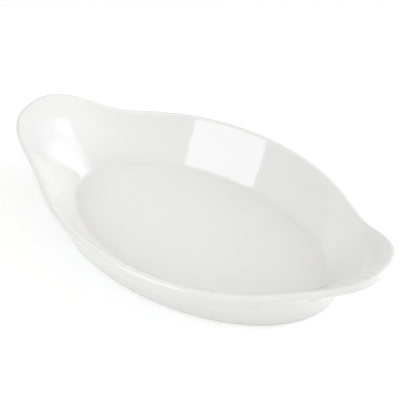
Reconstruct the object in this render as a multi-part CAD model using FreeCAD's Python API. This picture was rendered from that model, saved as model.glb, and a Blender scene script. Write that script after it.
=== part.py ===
"""Oval eared gratin dish in glazed porcelain, standing on its foot ring.

The floor, wall and rim form the bowl. A ribbed ear grows out of the wall at each end of the long axis,
and a low oval ring under the wall carries the dish. Lengths are millimetres, +Z is up, +X is the long axis
and the origin is the middle of the foot ring's resting face.
"""
import FreeCAD, Part
import math
import os

# Foot oval: the widest line of the foot ring, seen from above
foot_length = 192.0
foot_width = 118.0

# Foot ring
ring_height = 2.0
ring_width = 6.0
ring_outer_round = 1.5
ring_inner_round = 1.0

# Floor and upper wall
wall_thickness = 4.2
floor_level = 7.2
floor_corner_radius = 6.0

# Outward run of the wall for each unit of rise, where it leaves the foot
side_lean_share = 0.40
end_lean_share = 0.30

# Middle of the rounded rim, measured outward from the foot oval and upward from the table
rim_radius = 2.4
side_rim_reach = 12.8
end_rim_reach = 2.6
side_rim_height = 31.6
ear_rim_reach = 32.6
ear_rim_height = 45.3

# Spread of an ear, as the turn of the wall away from the long axis, and how squarely it falls off
ear_spread_degrees = 36.1
ear_fall_power = 2.7

# Bend of the wall: where along its rise it bends, and how tightly
side_bend_share = 0.50
ear_bend_share = 0.75
side_bend_weight = 1.0
ear_bend_weight = 1.5

# The wall swells into the rim over the last part of its run
swell_start_share = 0.60

# Inner skin: where it runs onto the floor, measured inward from the foot oval, and how far below the rim
# it keeps the rim's slope. It leans more than the outer skin, so the wall thickens towards the foot
side_heel_inset = 8.4
end_heel_inset = 9.4
side_top_pull = 13.0
ear_top_pull = 20.0

# Joint between bowl and ear: an upright plane beyond the end of the foot oval
ear_joint_reach = 10.0

# Grip ribs on top of each ear. They end part of the way over the rim, as a share of its half turn
rib_count = 11
rib_pitch_degrees = 4.2
rib_width = 3.4
rib_bevel = 1.2
rib_relief = 0.40
rib_sink = 0.3
rib_depth = 1.8
rib_length = 9.0
rib_end_share = 0.75

# Stations along the wall's cross-section and around the oval
outer_wall_shares = (0.0, 0.25, 0.50, 0.75)
rim_turn_shares = (0.0, 0.16, 0.33, 0.50, 0.67, 0.84, 1.0)
inner_wall_shares = (0.80, 0.60, 0.40, 0.20, 0.0)
corner_turn_shares = (0.33, 0.67, 1.0)
ring_turn_shares = (0.0, 0.5, 1.0)
turn_count = 48

# Place of the joint plane along the long axis
joint_x = foot_length / 2 + ear_joint_reach


def blend(first, second, share):
    """Value a given share of the way from the first to the second."""
    return first + (second - first) * share


def ease(share):
    """Smooth rise from zero to one."""
    held = max(0.0, min(1.0, share))
    return held * held * (3 - 2 * held)


def plan(turn, out, up):
    """Point at a distance outward from the foot oval, where the wall faces the given turn from +X."""
    along = foot_length / 2
    across = foot_width / 2
    size = math.hypot(along * math.cos(turn), across * math.sin(turn))
    x = (along * along / size + out) * math.cos(turn)
    y = (across * across / size + out) * math.sin(turn)
    return FreeCAD.Vector(x, y, up)


def ear_share(turn):
    """One at the tip of an ear, falling to nothing along the sides."""
    from_axis = math.acos(min(1.0, abs(math.cos(turn))))
    return math.exp(-((from_axis / math.radians(ear_spread_degrees)) ** ear_fall_power))


def wall_lean(turn):
    """Angle of the wall from upright where it leaves the foot."""
    return math.atan(blend(side_lean_share, end_lean_share, math.cos(turn) ** 2))


def foot_skin(turn, up):
    """Outer skin's distance from the foot oval in the straight stretch above the foot's round."""
    lean = wall_lean(turn)
    start_out = ring_outer_round * (math.cos(lean) - 1)
    start_up = ring_outer_round * (1 - math.sin(lean))
    return start_out + (up - start_up) * math.tan(lean)


def bent_line(start, bend, end, weight):
    """Curve from start to end, drawn towards the bend as strongly as its weight says."""
    line = Part.BezierCurve()
    line.setPoles([start, bend, end])
    line.setWeight(2, weight)
    return line


def wall_line(turn):
    """Line that the outer skin follows half a wall further out, from the foot to the middle of the rim."""
    ear = ear_share(turn)
    lean = wall_lean(turn)
    half = wall_thickness / 2
    plain_reach = blend(side_rim_reach, end_rim_reach, math.cos(turn) ** 2)
    rim = FreeCAD.Vector(blend(plain_reach, ear_rim_reach, ear), blend(side_rim_height, ear_rim_height, ear), 0)
    foot_out = foot_skin(turn, ring_height) - half * math.cos(lean)
    foot = FreeCAD.Vector(foot_out, ring_height + half * math.sin(lean), 0)
    rise = blend(side_bend_share, ear_bend_share, ear) * (rim.y - foot.y)
    bend = foot + FreeCAD.Vector(rise * math.tan(lean), rise, 0)
    return bent_line(foot, bend, rim, blend(side_bend_weight, ear_bend_weight, ear))


def facing(line, share):
    """Outward direction of the wall at a share of its run."""
    run = line.tangent(share)[0]
    return FreeCAD.Vector(run.y, -run.x, 0)


def outer_skin(line, share):
    """Point on the outer skin, which swells into the rim."""
    swell = ease((share - swell_start_share) / (1 - swell_start_share))
    return line.value(share) + facing(line, share) * blend(wall_thickness / 2, rim_radius, swell)


def inner_line(turn):
    """Inner skin in its own cross-section, from its run onto the floor to the inner side of the rim."""
    outer = wall_line(turn)
    ear = ear_share(turn)
    heel = FreeCAD.Vector(-blend(side_heel_inset, end_heel_inset, math.cos(turn) ** 2), floor_level, 0)
    top = outer.value(1) - facing(outer, 1) * rim_radius
    bend = top - outer.tangent(1)[0] * blend(side_top_pull, ear_top_pull, ear)
    return bent_line(heel, bend, top, blend(side_bend_weight, ear_bend_weight, ear))


def root(function, low, high):
    """Place between low and high where a rising function crosses zero."""
    for step in range(60):
        middle = (low + high) / 2
        if function(middle) < 0:
            low = middle
        else:
            high = middle
    return (low + high) / 2


def cross_section(turn):
    """Stations up the outer skin, over the rim, down the inner skin and round the corner to the floor."""
    outer = wall_line(turn)
    inner = inner_line(turn)
    stations = [outer_skin(outer, share) for share in outer_wall_shares]
    rim = outer.value(1)
    out = facing(outer, 1)
    run = outer.tangent(1)[0]
    for share in rim_turn_shares:
        swing = math.pi * share
        stations.append(rim + (out * math.cos(swing) + run * math.sin(swing)) * rim_radius)

    def corner_middle(share):
        return inner.value(share) - facing(inner, share) * floor_corner_radius

    start = root(lambda share: corner_middle(share).y - floor_level - floor_corner_radius, 0.0, 1.0)
    stations += [inner.value(blend(start, 1, share)) for share in inner_wall_shares]
    middle = corner_middle(start)
    first = facing(inner, start)
    first_swing = math.atan2(first.y, first.x)
    for share in corner_turn_shares:
        swing = blend(first_swing, -math.pi / 2, share)
        stations.append(middle + FreeCAD.Vector(math.cos(swing), math.sin(swing), 0) * floor_corner_radius)
    return stations


def all_turns():
    """Turns all the way round, starting in the middle of the +Y side."""
    return [math.pi / 2 + 2 * math.pi * index / turn_count for index in range(turn_count)]


def oval(stations):
    """Closed smooth curve round the dish through one station, out and up, for each turn."""
    curve = Part.BSplineCurve()
    curve.interpolate(Points=[plan(turn, place.x, place.y) for turn, place in zip(all_turns(), stations)],
                      PeriodicFlag=True,
                      Parameters=[index / turn_count for index in range(turn_count + 1)])
    return Part.Wire([curve.toShape()])


def around(section):
    """Solid through ovals, one for each station that the section function gives at every turn."""
    sections = [section(turn) for turn in all_turns()]
    return Part.makeLoft([oval(stations) for stations in zip(*sections)], True, True)


def rib(turn):
    """Low bevelled rib over the top of an ear, from the rim inward, sinking into it at both ends."""
    outer = wall_line(turn)
    inner = inner_line(turn)
    swing = math.pi * rib_end_share
    over_rim = facing(outer, 1) * math.cos(swing) + outer.tangent(1)[0] * math.sin(swing)
    end = outer.value(1) + over_rim * (rim_radius - rib_sink)
    first = root(lambda share: inner.value(share).x - end.x + rib_length, 0.0, 1.0)
    start = inner.value(first) + facing(inner, first) * rib_sink
    middle = blend(first, 1, 1 / 2)
    crown = inner.value(middle) - facing(inner, middle) * rib_relief
    down = facing(inner, 1) * rib_depth
    start, crown, end, deep_end, deep_start = [plan(turn, at.x, at.y)
                                               for at in (start, crown, end, end + down, start + down)]
    outline = [Part.Arc(start, crown, end).toShape(), Part.makeLine(end, deep_end),
               Part.makeLine(deep_end, deep_start), Part.makeLine(deep_start, start)]
    across = FreeCAD.Vector(-math.sin(turn), math.cos(turn), 0) * rib_width
    profile = Part.Face(Part.Wire(outline))
    profile.translate(across / -2)
    bar = profile.extrude(across)
    return bar.makeChamfer(rib_bevel, [edge for edge in bar.Edges if edge.Curve.TypeId == "Part::GeomCircle"])


def ring_outside(turn):
    """Stations of the foot ring's outer skin, from the resting face up to the bowl."""
    stations = []
    for share in ring_turn_shares:
        swing = blend(-math.pi / 2, -wall_lean(turn), share)
        stations.append(FreeCAD.Vector(ring_outer_round * (math.cos(swing) - 1),
                                       ring_outer_round * (1 + math.sin(swing)), 0))
    stations.append(FreeCAD.Vector(foot_skin(turn, ring_height), ring_height, 0))
    return stations


def ring_inside(turn):
    """Stations of the foot ring's inner skin, from the resting face up to the bowl."""
    stations = []
    for share in ring_turn_shares:
        swing = math.pi / 2 * share
        stations.append(FreeCAD.Vector(ring_inner_round * (1 - math.sin(swing)) - ring_width,
                                       ring_inner_round * (1 - math.cos(swing)), 0))
    stations.append(FreeCAD.Vector(-ring_width, ring_height, 0))
    return stations


# Porcelain body, parted at a plane near each end into the bowl and the lips of the ears
body = around(cross_section)
block_height = ear_rim_height + 2 * rim_radius
middle_block = Part.makeBox(2 * joint_x, 2 * foot_width, block_height, FreeCAD.Vector(-joint_x, -foot_width, 0))
bowl = body.common(middle_block)
lip = max(body.cut(middle_block).Solids, key=lambda solid: solid.CenterOfMass.x)

# Ribbed ears, one the mirror image of the other
ribs = []
for index in range(rib_count):
    ribs.append(rib(math.radians(rib_pitch_degrees) * (index - (rib_count - 1) / 2)))
ear_right = lip.fuse(ribs)
ear_left = ear_right.mirror(FreeCAD.Vector(0, 0, 0), FreeCAD.Vector(1, 0, 0))

# Foot ring
foot_ring = around(ring_outside).cut(around(ring_inside))

pieces = {"bowl": bowl, "ear_left": ear_left, "ear_right": ear_right, "foot_ring": foot_ring}
os.makedirs("parts", exist_ok=True)
for name, shape in pieces.items():
    shape.exportStep("parts/" + name + ".step")
    box = shape.BoundBox
    print(name, len(shape.Solids), shape.isValid(), round(shape.Volume, 1),
          [round(v, 2) for v in (box.XMin, box.XMax, box.YMin, box.YMax, box.ZMin, box.ZMax)])
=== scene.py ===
"""White porcelain gratin dish with two ribbed ears, standing on a white table in soft light.

The dish is dressed in the frame of its solids: the glazed body takes the place of bowl and ears, and the
foot under it gets a bare, ground resting edge. Shapes are worked out in millimetres and stored in metres.
"""
import math

import bpy
import numpy as np
from mathutils import Matrix, Vector


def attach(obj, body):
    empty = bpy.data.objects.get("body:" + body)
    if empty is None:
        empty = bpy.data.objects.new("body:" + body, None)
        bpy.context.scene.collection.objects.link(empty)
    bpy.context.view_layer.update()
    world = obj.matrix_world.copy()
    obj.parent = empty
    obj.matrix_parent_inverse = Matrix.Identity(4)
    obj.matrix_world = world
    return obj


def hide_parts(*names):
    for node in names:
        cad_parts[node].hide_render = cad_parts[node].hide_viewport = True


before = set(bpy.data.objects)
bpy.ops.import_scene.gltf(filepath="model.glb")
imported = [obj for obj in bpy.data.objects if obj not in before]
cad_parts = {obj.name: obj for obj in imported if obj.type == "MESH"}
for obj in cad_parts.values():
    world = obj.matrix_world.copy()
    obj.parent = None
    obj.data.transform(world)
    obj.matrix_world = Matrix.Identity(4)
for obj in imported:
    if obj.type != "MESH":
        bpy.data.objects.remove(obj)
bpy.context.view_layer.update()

# Glazed body: floor, flared wall, rolled rim and the two ears.
# It is pressed from porcelain clay in one piece, with the grip ribs moulded into the ears, and the rim is
# sponged round. After the first firing it is dipped in clear glaze, which melts to a glossy coat.
MILLIMETRE = 0.001

foot_along = 96.0
foot_across = 59.0
foot_height = 2.0
foot_round = 1.5
wall_thickness = 4.2
floor_level = 7.2
floor_corner_radius = 6.0
side_lean = 0.40
end_lean = 0.30
rim_radius = 2.32
side_rim_reach = 12.8
end_rim_reach = 2.6
side_rim_height = 31.6
ear_rim_reach = 32.6
ear_rim_height = 45.3
ear_spread = math.radians(36.1)
ear_fall_power = 2.7
side_bend_share = 0.50
ear_bend_share = 0.75
side_bend_weight = 1.0
ear_bend_weight = 1.5
swell_start_share = 0.60
side_heel_inset = 8.4
end_heel_inset = 9.4
side_top_pull = 13.0
ear_top_pull = 20.0

rib_count = 11
rib_pitch = math.radians(4.2)
rib_width = 3.8
rib_relief = 0.38
rib_sink = 0.15
rib_length = 9.0
rib_end_share = 0.75

plain_depth = 0.50
rim_depth = 0.15
corner_pool = 0.40
valley_pool = 0.90
thinning_start = 0.70

flat_rows = 7
outer_rows = 25
rim_rows = 21
inner_rows = 64
corner_rows = 14
crease_angle = math.radians(40.0)


def blend(first, second, share):
    """The first value plus the given share of the way to the second."""
    return first + (second - first) * share


def ease(share):
    """Smooth step: three times the square less twice the cube, held between zero and one."""
    held = np.clip(share, 0.0, 1.0)
    return held * held * (3 - 2 * held)


def plan(turn, out, up):
    """Point outward from the foot oval: the oval's point whose normal has this turn, plus the distance out
    along that normal."""
    size = np.hypot(foot_along * np.cos(turn), foot_across * np.sin(turn))
    x = (foot_along ** 2 / size + out) * np.cos(turn)
    y = (foot_across ** 2 / size + out) * np.sin(turn)
    return np.stack(np.broadcast_arrays(x, y, up), axis=-1)


def along_rim(turn, out):
    """Millimetres travelled for each radian of turn: the foot oval's radius of curvature plus out."""
    size = np.hypot(foot_along * np.cos(turn), foot_across * np.sin(turn))
    return (foot_along * foot_across) ** 2 / size ** 3 + out


def from_tip(turn):
    """Turn away from the nearer ear's tip: the turn brought to between minus and plus a quarter circle."""
    return (turn + math.pi / 2) % math.pi - math.pi / 2


def ear_share(turn):
    """Bell curve round each ear's tip: e to the minus of (turn from the tip over the spread) to the power of
    the fall."""
    return np.exp(-(np.abs(from_tip(turn)) / ear_spread) ** ear_fall_power)


def foot_lean(turn):
    """Angle of the wall from upright at the foot: from side to end by the squared cosine of the turn."""
    return np.arctan(blend(side_lean, end_lean, np.cos(turn) ** 2))


def foot_skin(turn, up):
    """Outer skin's distance from the foot oval: the end of the foot's round, then a straight leaning line."""
    lean = foot_lean(turn)
    start_out = foot_round * (np.cos(lean) - 1)
    start_up = foot_round * (1 - np.sin(lean))
    return start_out + (up - start_up) * np.tan(lean)


def bent_line(start, bend, end, weight, share):
    """Weighted quadratic Bezier from start over bend to end: place and unit tangent, each as out and up."""
    parts = ((1 - share) ** 2, 2 * weight * share * (1 - share), share ** 2)
    slopes = (2 * share - 2, 2 * weight * (1 - 2 * share), 2 * share)
    total = sum(parts)
    place = []
    run = []
    for poles in zip(start, bend, end):
        at = sum(part * pole for part, pole in zip(parts, poles)) / total
        place.append(at)
        run.append((sum(slope * pole for slope, pole in zip(slopes, poles)) - sum(slopes) * at) / total)
    length = np.hypot(*run)
    return place[0], place[1], run[0] / length, run[1] / length


def wall_line(turn, share):
    """Line half a wall inside the outer skin, from the foot to the middle of the rim."""
    ear = ear_share(turn)
    lean = foot_lean(turn)
    half = wall_thickness / 2
    rim_out = blend(blend(side_rim_reach, end_rim_reach, np.cos(turn) ** 2), ear_rim_reach, ear)
    rim_up = blend(side_rim_height, ear_rim_height, ear)
    foot_out = foot_skin(turn, foot_height) - half * np.cos(lean)
    foot_up = foot_height + half * np.sin(lean)
    rise = blend(side_bend_share, ear_bend_share, ear) * (rim_up - foot_up)
    bend = (foot_out + rise * np.tan(lean), foot_up + rise)
    weight = blend(side_bend_weight, ear_bend_weight, ear)
    return bent_line((foot_out, foot_up), bend, (rim_out, rim_up), weight, share)


def outer_skin(turn, share):
    """Wall line moved outward by half the wall, which swells into the rim."""
    out, up, run_out, run_up = wall_line(turn, share)
    swell = ease((share - swell_start_share) / (1 - swell_start_share))
    half = blend(wall_thickness / 2, rim_radius, swell)
    return out + run_up * half, up - run_out * half


def inner_skin(turn, share):
    """Bent line from its run onto the floor to the rim's inner side, plus the facing into the porcelain."""
    ear = ear_share(turn)
    out, up, run_out, run_up = wall_line(turn, np.ones_like(turn))
    heel = (-blend(side_heel_inset, end_heel_inset, np.cos(turn) ** 2), floor_level)
    top = (out - run_up * rim_radius, up + run_out * rim_radius)
    pull = blend(side_top_pull, ear_top_pull, ear)
    bend = (top[0] - run_out * pull, top[1] - run_up * pull)
    weight = blend(side_bend_weight, ear_bend_weight, ear)
    out, up, run_out, run_up = bent_line(heel, bend, top, weight, share)
    return out, up, run_up, -run_out


def corner_start(turn):
    """Share of the inner skin where a circle of the corner's radius touches wall and floor, by halving."""
    low = np.zeros_like(turn)
    high = np.ones_like(turn)
    for step in range(40):
        middle = (low + high) / 2
        out, up, face_out, face_up = inner_skin(turn, middle)
        below = up - face_up * floor_corner_radius < floor_level + floor_corner_radius
        low = np.where(below, middle, low)
        high = np.where(below, high, middle)
    return (low + high) / 2


def glaze_left(share):
    """Glaze's depth up the wall: even, and thinner by a smooth step over the last part before the rim."""
    return plain_depth - (plain_depth - rim_depth) * ease((share - thinning_start) / (1 - thinning_start))


def rib_rise(turn, out):
    """Height of the grip ribs: a squared cosine across the nearest rib times a parabola along it. The second
    array is the parabola alone, from none to one, which marks the ribbed band."""
    tip_turn = from_tip(turn)
    nearest = np.clip(np.round(tip_turn / rib_pitch), -(rib_count // 2), rib_count // 2)
    across = (tip_turn - nearest * rib_pitch) * along_rim(turn, out) / (rib_width / 2)
    crest = np.cos(np.clip(across, -1.0, 1.0) * math.pi / 2) ** 2
    rim_out, rim_up, run_out, run_up = wall_line(turn, np.ones_like(turn))
    swing = math.pi * rib_end_share
    end_out = rim_out + rim_radius * (run_up * math.cos(swing) + run_out * math.sin(swing))
    along = (out - end_out + rib_length / 2) / (rib_length / 2)
    bow = np.maximum((rib_relief + rib_sink) * (1 - along ** 2) - rib_sink, 0.0)
    return bow * crest, np.clip(bow / rib_relief, 0.0, 1.0)


def body_rows(turn):
    """Cross-section at every turn, as rows of out and up: up the outer skin, over the rim as a half circle,
    down the inner skin with its ribs, and round the corner as an arc to the floor. The third array is the
    glaze's depth: thin on rim and rib crests, deep in the floor corner and between the ribs."""
    outs = []
    ups = []
    depths = []

    outer = np.linspace(0.0, 1.0, outer_rows + 1)[:-1, None]
    out, up = outer_skin(turn, outer)
    outs.append(out)
    ups.append(up)
    depths.append(glaze_left(outer) + 0 * out)

    out, up, run_out, run_up = wall_line(turn, np.ones_like(turn))
    swing = np.linspace(0.0, math.pi, rim_rows + 1)[:-1, None]
    round_out = run_up * np.cos(swing) + run_out * np.sin(swing)
    round_up = run_up * np.sin(swing) - run_out * np.cos(swing)
    rise = rib_rise(turn + 0 * round_out, out + rim_radius * round_out)[0]
    reach = rim_radius + np.where(swing > math.pi / 2, rise, 0.0)
    outs.append(out + reach * round_out)
    ups.append(up + reach * round_up)
    depths.append(rim_depth * (1 - np.sin(swing)) + 0 * reach)

    start = corner_start(turn)
    inner = 1 - np.linspace(0.0, 1.0, inner_rows)[:, None]
    share = blend(start, 1.0, inner)
    out, up, face_out, face_up = inner_skin(turn, share)
    rise, ribbed = rib_rise(turn + 0 * out, out)
    outs.append(out - face_out * rise)
    ups.append(up - face_up * rise)
    depths.append(glaze_left(inner) + valley_pool * ribbed * (0.5 - rise / rib_relief))

    out, up, face_out, face_up = inner_skin(turn, start)
    middle_out = out - face_out * floor_corner_radius
    middle_up = up - face_up * floor_corner_radius
    corner = np.linspace(0.0, 1.0, corner_rows + 1)[1:, None]
    swing = blend(np.arctan2(face_up, face_out), -math.pi / 2, corner)
    outs.append(middle_out + floor_corner_radius * np.cos(swing))
    ups.append(middle_up + floor_corner_radius * np.sin(swing))
    depths.append(plain_depth + corner_pool * np.sin(math.pi * corner) + 0 * swing)
    return np.vstack(outs), np.vstack(ups), np.vstack(depths)


def turns_round(fine_step, fine_spread, coarse_step):
    """Turns all the way round: evenly fine within the spread of each ear's tip and evenly coarse between."""
    fine = np.linspace(-fine_spread, fine_spread, 2 * round(fine_spread / fine_step) + 1)
    gap = math.pi - 2 * fine_spread
    coarse = fine_spread + np.linspace(0.0, gap, round(gap / coarse_step) + 1)[1:-1]
    half = np.concatenate([fine, coarse])
    return np.concatenate([half, half + math.pi])


def closed_grid_faces(rows, columns):
    """Quads between neighbouring rows and columns of a grid whose last column meets the first again."""
    row, column = np.meshgrid(np.arange(rows - 1), np.arange(columns), indexing="ij")
    beside = (column + 1) % columns
    return np.stack([row * columns + column, row * columns + beside, (row + 1) * columns + beside,
                     (row + 1) * columns + column], axis=-1).reshape(-1, 4)


def pole_faces(pole, first, columns, turned):
    """Triangles between a pole and a ring of the grid; turned ones run the other way round."""
    ring = first + np.arange(columns)
    beside = first + (np.arange(columns) + 1) % columns
    pair = (beside, ring) if turned else (ring, beside)
    return np.stack([np.full(columns, pole), pair[0], pair[1]], axis=-1)


def porcelain_piece(name, points, quads, triangles, sharp_angle):
    """Mesh object from arrays of points in millimetres, quads and triangles, smooth but for sharper edges."""
    mesh = bpy.data.meshes.new(name)
    mesh.vertices.add(len(points))
    mesh.vertices.foreach_set("co", (points * MILLIMETRE).astype(np.float32).ravel())
    corners = np.concatenate([quads.ravel(), triangles.ravel()])
    sizes = np.concatenate([np.full(len(quads), 4), np.full(len(triangles), 3)])
    mesh.loops.add(len(corners))
    mesh.loops.foreach_set("vertex_index", corners.astype(np.int32))
    mesh.polygons.add(len(sizes))
    mesh.polygons.foreach_set("loop_start", (np.cumsum(sizes) - sizes).astype(np.int32))
    mesh.update(calc_edges=True)
    mesh.validate()
    mesh.shade_smooth()
    mesh.set_sharp_from_angle(angle=sharp_angle)
    piece = bpy.data.objects.new(name, mesh)
    bpy.context.scene.collection.objects.link(piece)
    return piece


turn = turns_round(fine_step=math.radians(0.3), fine_spread=math.radians(25.0), coarse_step=math.radians(1.5))
turn = turn[None, :]
out, up, depth = body_rows(turn)
wall_points = plan(turn, out, up)
columns = turn.size

under_shares = np.linspace(0.0, 1.0, flat_rows + 2)[1:-1, None, None]
flat_spread = np.array([1.0, 1.0, 0.0])
foot_edge = wall_points[0]
floor_edge = wall_points[-1]
under_points = foot_edge * (1 - flat_spread + flat_spread * under_shares)
floor_points = floor_edge * (1 - flat_spread + flat_spread * under_shares[::-1])
rings = np.concatenate([under_points, wall_points, floor_points])
flat_depth = np.full((flat_rows, columns), plain_depth)
depth = np.concatenate([flat_depth, depth, flat_depth])
poles = np.array([[0.0, 0.0, foot_height], [0.0, 0.0, floor_level]])
points = np.concatenate([rings.reshape(-1, 3), poles])
under_pole = len(points) - 2
floor_pole = len(points) - 1
triangles = np.concatenate([pole_faces(under_pole, 0, columns, True),
                            pole_faces(floor_pole, (len(rings) - 1) * columns, columns, False)])
body = porcelain_piece("glazed_body", points, closed_grid_faces(len(rings), columns), triangles, crease_angle)
glaze_depth = body.data.attributes.new("glaze_depth", "FLOAT", "POINT")
depth = np.concatenate([depth.ravel(), [plain_depth, plain_depth]])
glaze_depth.data.foreach_set("value", depth.astype(np.float32))

# The glaze runs down the inside as it melts and waves there. Outside and on the rim it lies almost still.
still_share = 0.06
first_wavy_row = flat_rows + outer_rows + rim_rows
wavy_rows = 16
wavy = np.repeat(ease((np.arange(len(rings)) - first_wavy_row) / wavy_rows), columns)
wavy = np.concatenate([wavy, [0.0, 1.0]])
glaze_waves = body.data.attributes.new("glaze_waves", "FLOAT", "POINT")
glaze_waves.data.foreach_set("value", blend(still_share, 1.0, wavy).astype(np.float32))


def linear(hex_colour):
    """Linear colour of an sRGB hex value: a straight part near black and a 2.4 power above it."""
    value = np.array([int(hex_colour[index:index + 2], 16) for index in (1, 3, 5)]) / 255
    bright = ((value + 0.055) / 1.055) ** 2.4
    return (*np.where(value <= 0.04045, value / 12.92, bright).tolist(), 1.0)


def add(tree, kind, settings=None, inputs=None):
    """Adds a node, applies its settings, and sets each input to a value or links it to an output."""
    node = tree.nodes.new(kind)
    for name, value in (settings or {}).items():
        setattr(node, name, value)
    for name, value in (inputs or {}).items():
        if isinstance(value, bpy.types.NodeSocket):
            tree.links.new(value, node.inputs[name])
        else:
            node.inputs[name].default_value = value
    return node


def per_metre(millimetres):
    """Noise scale in object space for a pattern whose patches are this many millimetres across."""
    return 1000 / millimetres


# Clear glossy glaze on white porcelain: sharp reflections over a soft white body. The coat is a shade darker
# where it has run deep, as in the floor's corner, than where it is thin, as on the rim and the ribs.
# Its surface is very slightly wavy, which bends the edges of the reflections. Sizes are in millimetres.
firing_patch = 45
wiping_patch = 9
wave_length = 14
wave_height = 0.13
glaze = bpy.data.materials.new("glazed_porcelain")
glaze.use_nodes = True
tree = glaze.node_tree
shader = tree.nodes["Principled BSDF"]
place = add(tree, "ShaderNodeTexCoord").outputs["Object"]
pooled = add(tree, "ShaderNodeAttribute", {"attribute_name": "glaze_depth"}).outputs["Fac"]
firing = add(tree, "ShaderNodeTexNoise",
             inputs={"Vector": place, "Scale": per_metre(firing_patch), "Detail": 2.0})
uneven = add(tree, "ShaderNodeMath", {"operation": "MULTIPLY_ADD"},
             {0: firing.outputs["Fac"], 1: 0.30, 2: pooled})
tint = add(tree, "ShaderNodeValToRGB", inputs={"Fac": uneven.outputs[0]})
tint.color_ramp.elements[0].position = 0.10
tint.color_ramp.elements[0].color = linear("#F3F2F1")
tint.color_ramp.elements[1].position = 1.0
tint.color_ramp.elements[1].color = linear("#F2F1F0")
tree.links.new(tint.outputs["Color"], shader.inputs["Base Color"])
wiping = add(tree, "ShaderNodeTexNoise",
             inputs={"Vector": place, "Scale": per_metre(wiping_patch), "Detail": 3.0})
gloss = add(tree, "ShaderNodeMapRange", inputs={"Value": wiping.outputs["Fac"], "From Min": 0.3,
                                                "From Max": 0.7, "To Min": 0.04, "To Max": 0.075})
tree.links.new(gloss.outputs["Result"], shader.inputs["Roughness"])
wave = add(tree, "ShaderNodeTexNoise",
           inputs={"Vector": place, "Scale": per_metre(wave_length), "Detail": 1.0})
flow = add(tree, "ShaderNodeAttribute", {"attribute_name": "glaze_waves"}).outputs["Fac"]
ripple = add(tree, "ShaderNodeBump", inputs={"Height": wave.outputs["Fac"], "Strength": flow,
                                             "Distance": wave_height * MILLIMETRE})
tree.links.new(ripple.outputs["Normal"], shader.inputs["Normal"])
shader.inputs["IOR"].default_value = 1.56
body.data.materials.append(glaze)
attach(body, "root")
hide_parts("bowl", "ear_left", "ear_right")

# Foot ring: the low oval ridge under the wall that the dish stands on.
# It is turned up in the same porcelain, wiped free of glaze before the firing so that it can't stick to the
# kiln shelf, and ground flat on the resting face.
foot_width = 6.0
foot_inner_round = 1.0
joint_inset = 0.6
joint_rise = 0.3
round_rows = 9
foot_columns = 360


def foot_rows(turn):
    """Cross-section of the foot at every turn: down the outer skin, a quarter round to the resting face, a
    smaller quarter round up the inner side, and a hollow fillet out to the underside of the body."""
    lean = foot_lean(turn)
    swing = blend(-lean, -math.pi / 2, np.linspace(0.0, 1.0, round_rows)[:, None])
    inner_swing = np.linspace(0.0, math.pi / 2, round_rows)[:, None]
    outs = [foot_skin(turn, foot_height) - joint_inset, foot_skin(turn, foot_height),
            foot_round * (np.cos(swing) - 1),
            foot_inner_round * (1 - np.sin(inner_swing)) - foot_width,
            -foot_width - foot_inner_round * (1 - np.cos(inner_swing[1:])) + 0 * turn,
            -foot_width + joint_inset + 0 * turn]
    ups = [np.full_like(turn, foot_height + joint_rise), np.full_like(turn, foot_height),
           foot_round * (1 + np.sin(swing)),
           foot_inner_round * (1 - np.cos(inner_swing)) + 0 * turn,
           foot_height - foot_inner_round * (1 - np.sin(inner_swing[1:])) + 0 * turn,
           np.full_like(turn, foot_height + joint_rise)]
    outs = np.vstack([np.broadcast_to(part, (part.shape[0], turn.size)) for part in outs])
    return outs, np.vstack(ups)


foot_turn = np.linspace(0.0, 2 * math.pi, foot_columns + 1)[None, :-1]
out, up = foot_rows(foot_turn)
foot_points = plan(foot_turn, out, up)
ring_faces = closed_grid_faces(len(foot_points) + 1, foot_columns) % (len(foot_points) * foot_columns)
foot = porcelain_piece("foot_edge", foot_points.reshape(-1, 3), ring_faces[:, ::-1], np.zeros((0, 3), int),
                       crease_angle)

# Bare fired porcelain: matt, a little warmer than the glaze and faintly gritty, with grey rub marks on the
# ground face. The glaze ends in a slightly uneven line part of the way down the outer round. The grit is
# drawn coarser than the real tenth of a millimetre, so that it shows. Sizes are in millimetres.
drip_length = 11
drip_height = 0.5
grit_size = 0.8
grit_height = 0.05
glaze_end = 0.25
glaze_full = 0.50
bare = bpy.data.materials.new("bare_porcelain")
bare.use_nodes = True
tree = bare.node_tree
shader = tree.nodes["Principled BSDF"]
place = add(tree, "ShaderNodeTexCoord").outputs["Object"]
height = add(tree, "ShaderNodeSeparateXYZ", inputs={"Vector": place}).outputs["Z"]
drip = add(tree, "ShaderNodeTexNoise",
           inputs={"Vector": place, "Scale": per_metre(drip_length), "Detail": 2.0})
edge = add(tree, "ShaderNodeMath", {"operation": "MULTIPLY_ADD"},
           {0: drip.outputs["Fac"], 1: -drip_height * MILLIMETRE, 2: height})
glazed = add(tree, "ShaderNodeMapRange", {"interpolation_type": "SMOOTHSTEP"},
             {"Value": edge.outputs[0], "From Min": glaze_end * MILLIMETRE,
              "From Max": glaze_full * MILLIMETRE})
grit = add(tree, "ShaderNodeTexNoise",
           inputs={"Vector": place, "Scale": per_metre(grit_size), "Detail": 3.0})
rubbed = add(tree, "ShaderNodeValToRGB", inputs={"Fac": grit.outputs["Fac"]})
rubbed.color_ramp.elements[0].position = 0.35
rubbed.color_ramp.elements[0].color = linear("#DAD5CC")
rubbed.color_ramp.elements[1].position = 0.60
rubbed.color_ramp.elements[1].color = linear("#EBE7DF")
colour = add(tree, "ShaderNodeMix", {"data_type": "RGBA"},
             {"Factor": glazed.outputs["Result"], 6: rubbed.outputs["Color"], 7: linear("#F0F0EB")})
tree.links.new(colour.outputs[2], shader.inputs["Base Color"])
matt = add(tree, "ShaderNodeMapRange", inputs={"Value": glazed.outputs["Result"], "To Min": 0.62,
                                               "To Max": 0.09})
tree.links.new(matt.outputs["Result"], shader.inputs["Roughness"])
rough = add(tree, "ShaderNodeMath", {"operation": "SUBTRACT"}, {0: 1.0, 1: glazed.outputs["Result"]})
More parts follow.
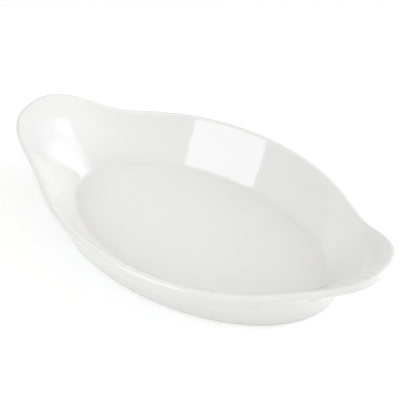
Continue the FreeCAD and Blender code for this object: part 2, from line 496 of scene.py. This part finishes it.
scratch = add(tree, "ShaderNodeBump", inputs={"Height": grit.outputs["Fac"], "Strength": rough.outputs[0],
                                              "Distance": grit_height * MILLIMETRE})
tree.links.new(scratch.outputs["Normal"], shader.inputs["Normal"])
shader.inputs["IOR"].default_value = 1.5
foot.data.materials.append(bare)
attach(foot, "root")
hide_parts("foot_ring")

# Table: a wide white laminate sheet that the dish stands on.
# It reads as plain white to the eye and still takes the soft shadow under the dish.
table_half = 3.0
seen_lift = 0.25
mesh = bpy.data.meshes.new("table")
mesh.from_pydata([(-table_half, -table_half, 0), (table_half, -table_half, 0), (table_half, table_half, 0),
                  (-table_half, table_half, 0)], [], [(0, 1, 2, 3)])
table = bpy.data.objects.new("table", mesh)
bpy.context.scene.collection.objects.link(table)
white = bpy.data.materials.new("white_laminate")
white.use_nodes = True
tree = white.node_tree
tree.nodes.remove(tree.nodes["Principled BSDF"])
path = add(tree, "ShaderNodeLightPath")
seen = add(tree, "ShaderNodeMath", {"operation": "MAXIMUM"},
           {0: path.outputs["Is Camera Ray"], 1: path.outputs["Is Glossy Ray"]})
seen = add(tree, "ShaderNodeMath", {"operation": "MAXIMUM"},
           {0: seen.outputs[0], 1: path.outputs["Is Transmission Ray"]})
lift = add(tree, "ShaderNodeMath", {"operation": "MULTIPLY"}, {0: seen.outputs[0], 1: seen_lift})
glow = add(tree, "ShaderNodeEmission", inputs={"Color": linear("#FFFFFF"), "Strength": lift.outputs[0]})
sheet = add(tree, "ShaderNodeBsdfDiffuse", inputs={"Color": linear("#F2F2F2")})
both = add(tree, "ShaderNodeAddShader", inputs={0: sheet.outputs[0], 1: glow.outputs[0]})
tree.links.new(both.outputs[0], tree.nodes["Material Output"].inputs["Surface"])
mesh.materials.append(white)

# Light: a white room, brighter behind the dish on the right than on the left, with white cloth panels lit
# from their backs. The tall one in front shows as a window on the far wall, the wide one behind has three
# soft bright spots that show on the left ear and wall, and the low one stands at the right end.
scene = bpy.context.scene
world = bpy.data.worlds.new("white_room")
scene.world = world
world.use_nodes = True
tree = world.node_tree
bright_side = (0.58, 0.58, 0.57)
dim_level = 0.22
bright_level = 0.88
toward = add(tree, "ShaderNodeTexCoord").outputs["Generated"]
side = add(tree, "ShaderNodeVectorMath", {"operation": "DOT_PRODUCT"}, {0: toward, 1: bright_side})
room = add(tree, "ShaderNodeMapRange", inputs={"Value": side.outputs["Value"], "From Min": -1.0,
                                               "To Min": dim_level, "To Max": bright_level})
backdrop = tree.nodes["Background"]
backdrop.inputs["Color"].default_value = linear("#FFFEFA")
tree.links.new(room.outputs["Result"], backdrop.inputs["Strength"])


def beside(azimuth, distance, aside, height):
    """Point on the upright plane that faces the dish from a bearing and distance. Aside is measured along the
    plane and grows with the bearing."""
    x = distance * math.sin(azimuth) + aside * math.cos(azimuth)
    y = aside * math.sin(azimuth) - distance * math.cos(azimuth)
    return Vector((x, y, height))


def panel(name, azimuth, distance, corners, radiance, glows=()):
    """Flat glowing cloth on such a plane, from its corners as pairs of aside and height. Its even radiance is
    raised by glows, each given as strength, middle and reach: full at the middle, and a smooth step of the
    distance over the reach down to nothing."""
    mesh = bpy.data.meshes.new(name)
    mesh.from_pydata([beside(azimuth, distance, *corner) for corner in corners], [], [range(len(corners))])
    cloth_map = mesh.uv_layers.new(name="cloth_map")
    cloth_map.data.foreach_set("uv", np.array(corners, np.float32).ravel())
    cloth = bpy.data.materials.new(name)
    cloth.use_nodes = True
    tree = cloth.node_tree
    tree.nodes.remove(tree.nodes["Principled BSDF"])
    light = add(tree, "ShaderNodeEmission", inputs={"Color": linear("#F8FCFF"), "Strength": radiance})
    tree.links.new(light.outputs[0], tree.nodes["Material Output"].inputs["Surface"])
    place = add(tree, "ShaderNodeUVMap", {"uv_map": "cloth_map"}).outputs["UV"]
    for strength, middle, reach in glows:
        away = add(tree, "ShaderNodeVectorMath", {"operation": "SUBTRACT"}, {0: place, 1: (*middle, 0.0)})
        share = add(tree, "ShaderNodeVectorMath", {"operation": "DIVIDE"},
                    {0: away.outputs["Vector"], 1: (*reach, 1.0)})
        far = add(tree, "ShaderNodeVectorMath", {"operation": "LENGTH"}, {0: share.outputs["Vector"]})
        glow = add(tree, "ShaderNodeMapRange", {"interpolation_type": "SMOOTHSTEP"},
                   {"Value": far.outputs["Value"], "To Min": strength, "To Max": 0.0})
        total = add(tree, "ShaderNodeMath", {"operation": "ADD"}, {0: radiance, 1: glow.outputs["Result"]})
        radiance = total.outputs[0]
        tree.links.new(radiance, light.inputs["Strength"])
    mesh.materials.append(cloth)
    holder = bpy.data.objects.new(name, mesh)
    holder.visible_camera = False
    scene.collection.objects.link(holder)


front_radiance = 3.5
behind_even_radiance = 0.50
behind_radiance = 1.85
low_radiance = 1.2
panel("panel_front", math.radians(-18), 1.0, [(-0.194, 0.30), (0.431, 0.30), (0.127, 1.55), (-0.551, 1.55)],
      front_radiance)
panel("panel_behind", math.radians(140), 1.1, [(-0.80, 0.05), (1.10, 0.05), (1.10, 1.80), (-0.33, 1.80),
                                               (-0.50, 1.00), (-0.80, 0.52)], behind_even_radiance,
      [(behind_radiance, (-0.45, 0.70), (1.25, 1.05)), (behind_radiance * 0.75, (-0.24, 1.05), (0.45, 0.42)),
       (behind_radiance * 2.2, (-0.05, 0.32), (0.75, 0.32))])
panel("panel_low", math.radians(88), 1.1, [(-0.40, 0.14), (0.40, 0.14), (0.40, 0.38), (-0.40, 0.38)],
      low_radiance)

# Camera: above the near side and a little to the right, as in the photograph, with a long lens.
# Its distance and shifts are in millimetres from the middle of the foot.
view_elevation = math.radians(40.92)
view_azimuth = math.radians(35.83)
view_distance = 921.69
view_aside = 6.3
view_lift = 19.93
focal_pixels = 1508.15
image_pixels = 415
back = Vector((math.sin(view_azimuth) * math.cos(view_elevation),
               -math.cos(view_azimuth) * math.cos(view_elevation), math.sin(view_elevation)))
right = Vector((math.cos(view_azimuth), math.sin(view_azimuth), 0))
above = back.cross(right)
eye = (right * view_aside + above * view_lift + back * view_distance) * MILLIMETRE
camera_data = bpy.data.cameras.new("camera")
camera_data.sensor_width = 36.0
camera_data.lens = camera_data.sensor_width * focal_pixels / image_pixels
camera = bpy.data.objects.new("camera", camera_data)
camera.matrix_world = Matrix.Translation(eye) @ Matrix((right, above, back)).transposed().to_4x4()
scene.collection.objects.link(camera)
scene.camera = camera
scene.view_settings.view_transform = "Standard"
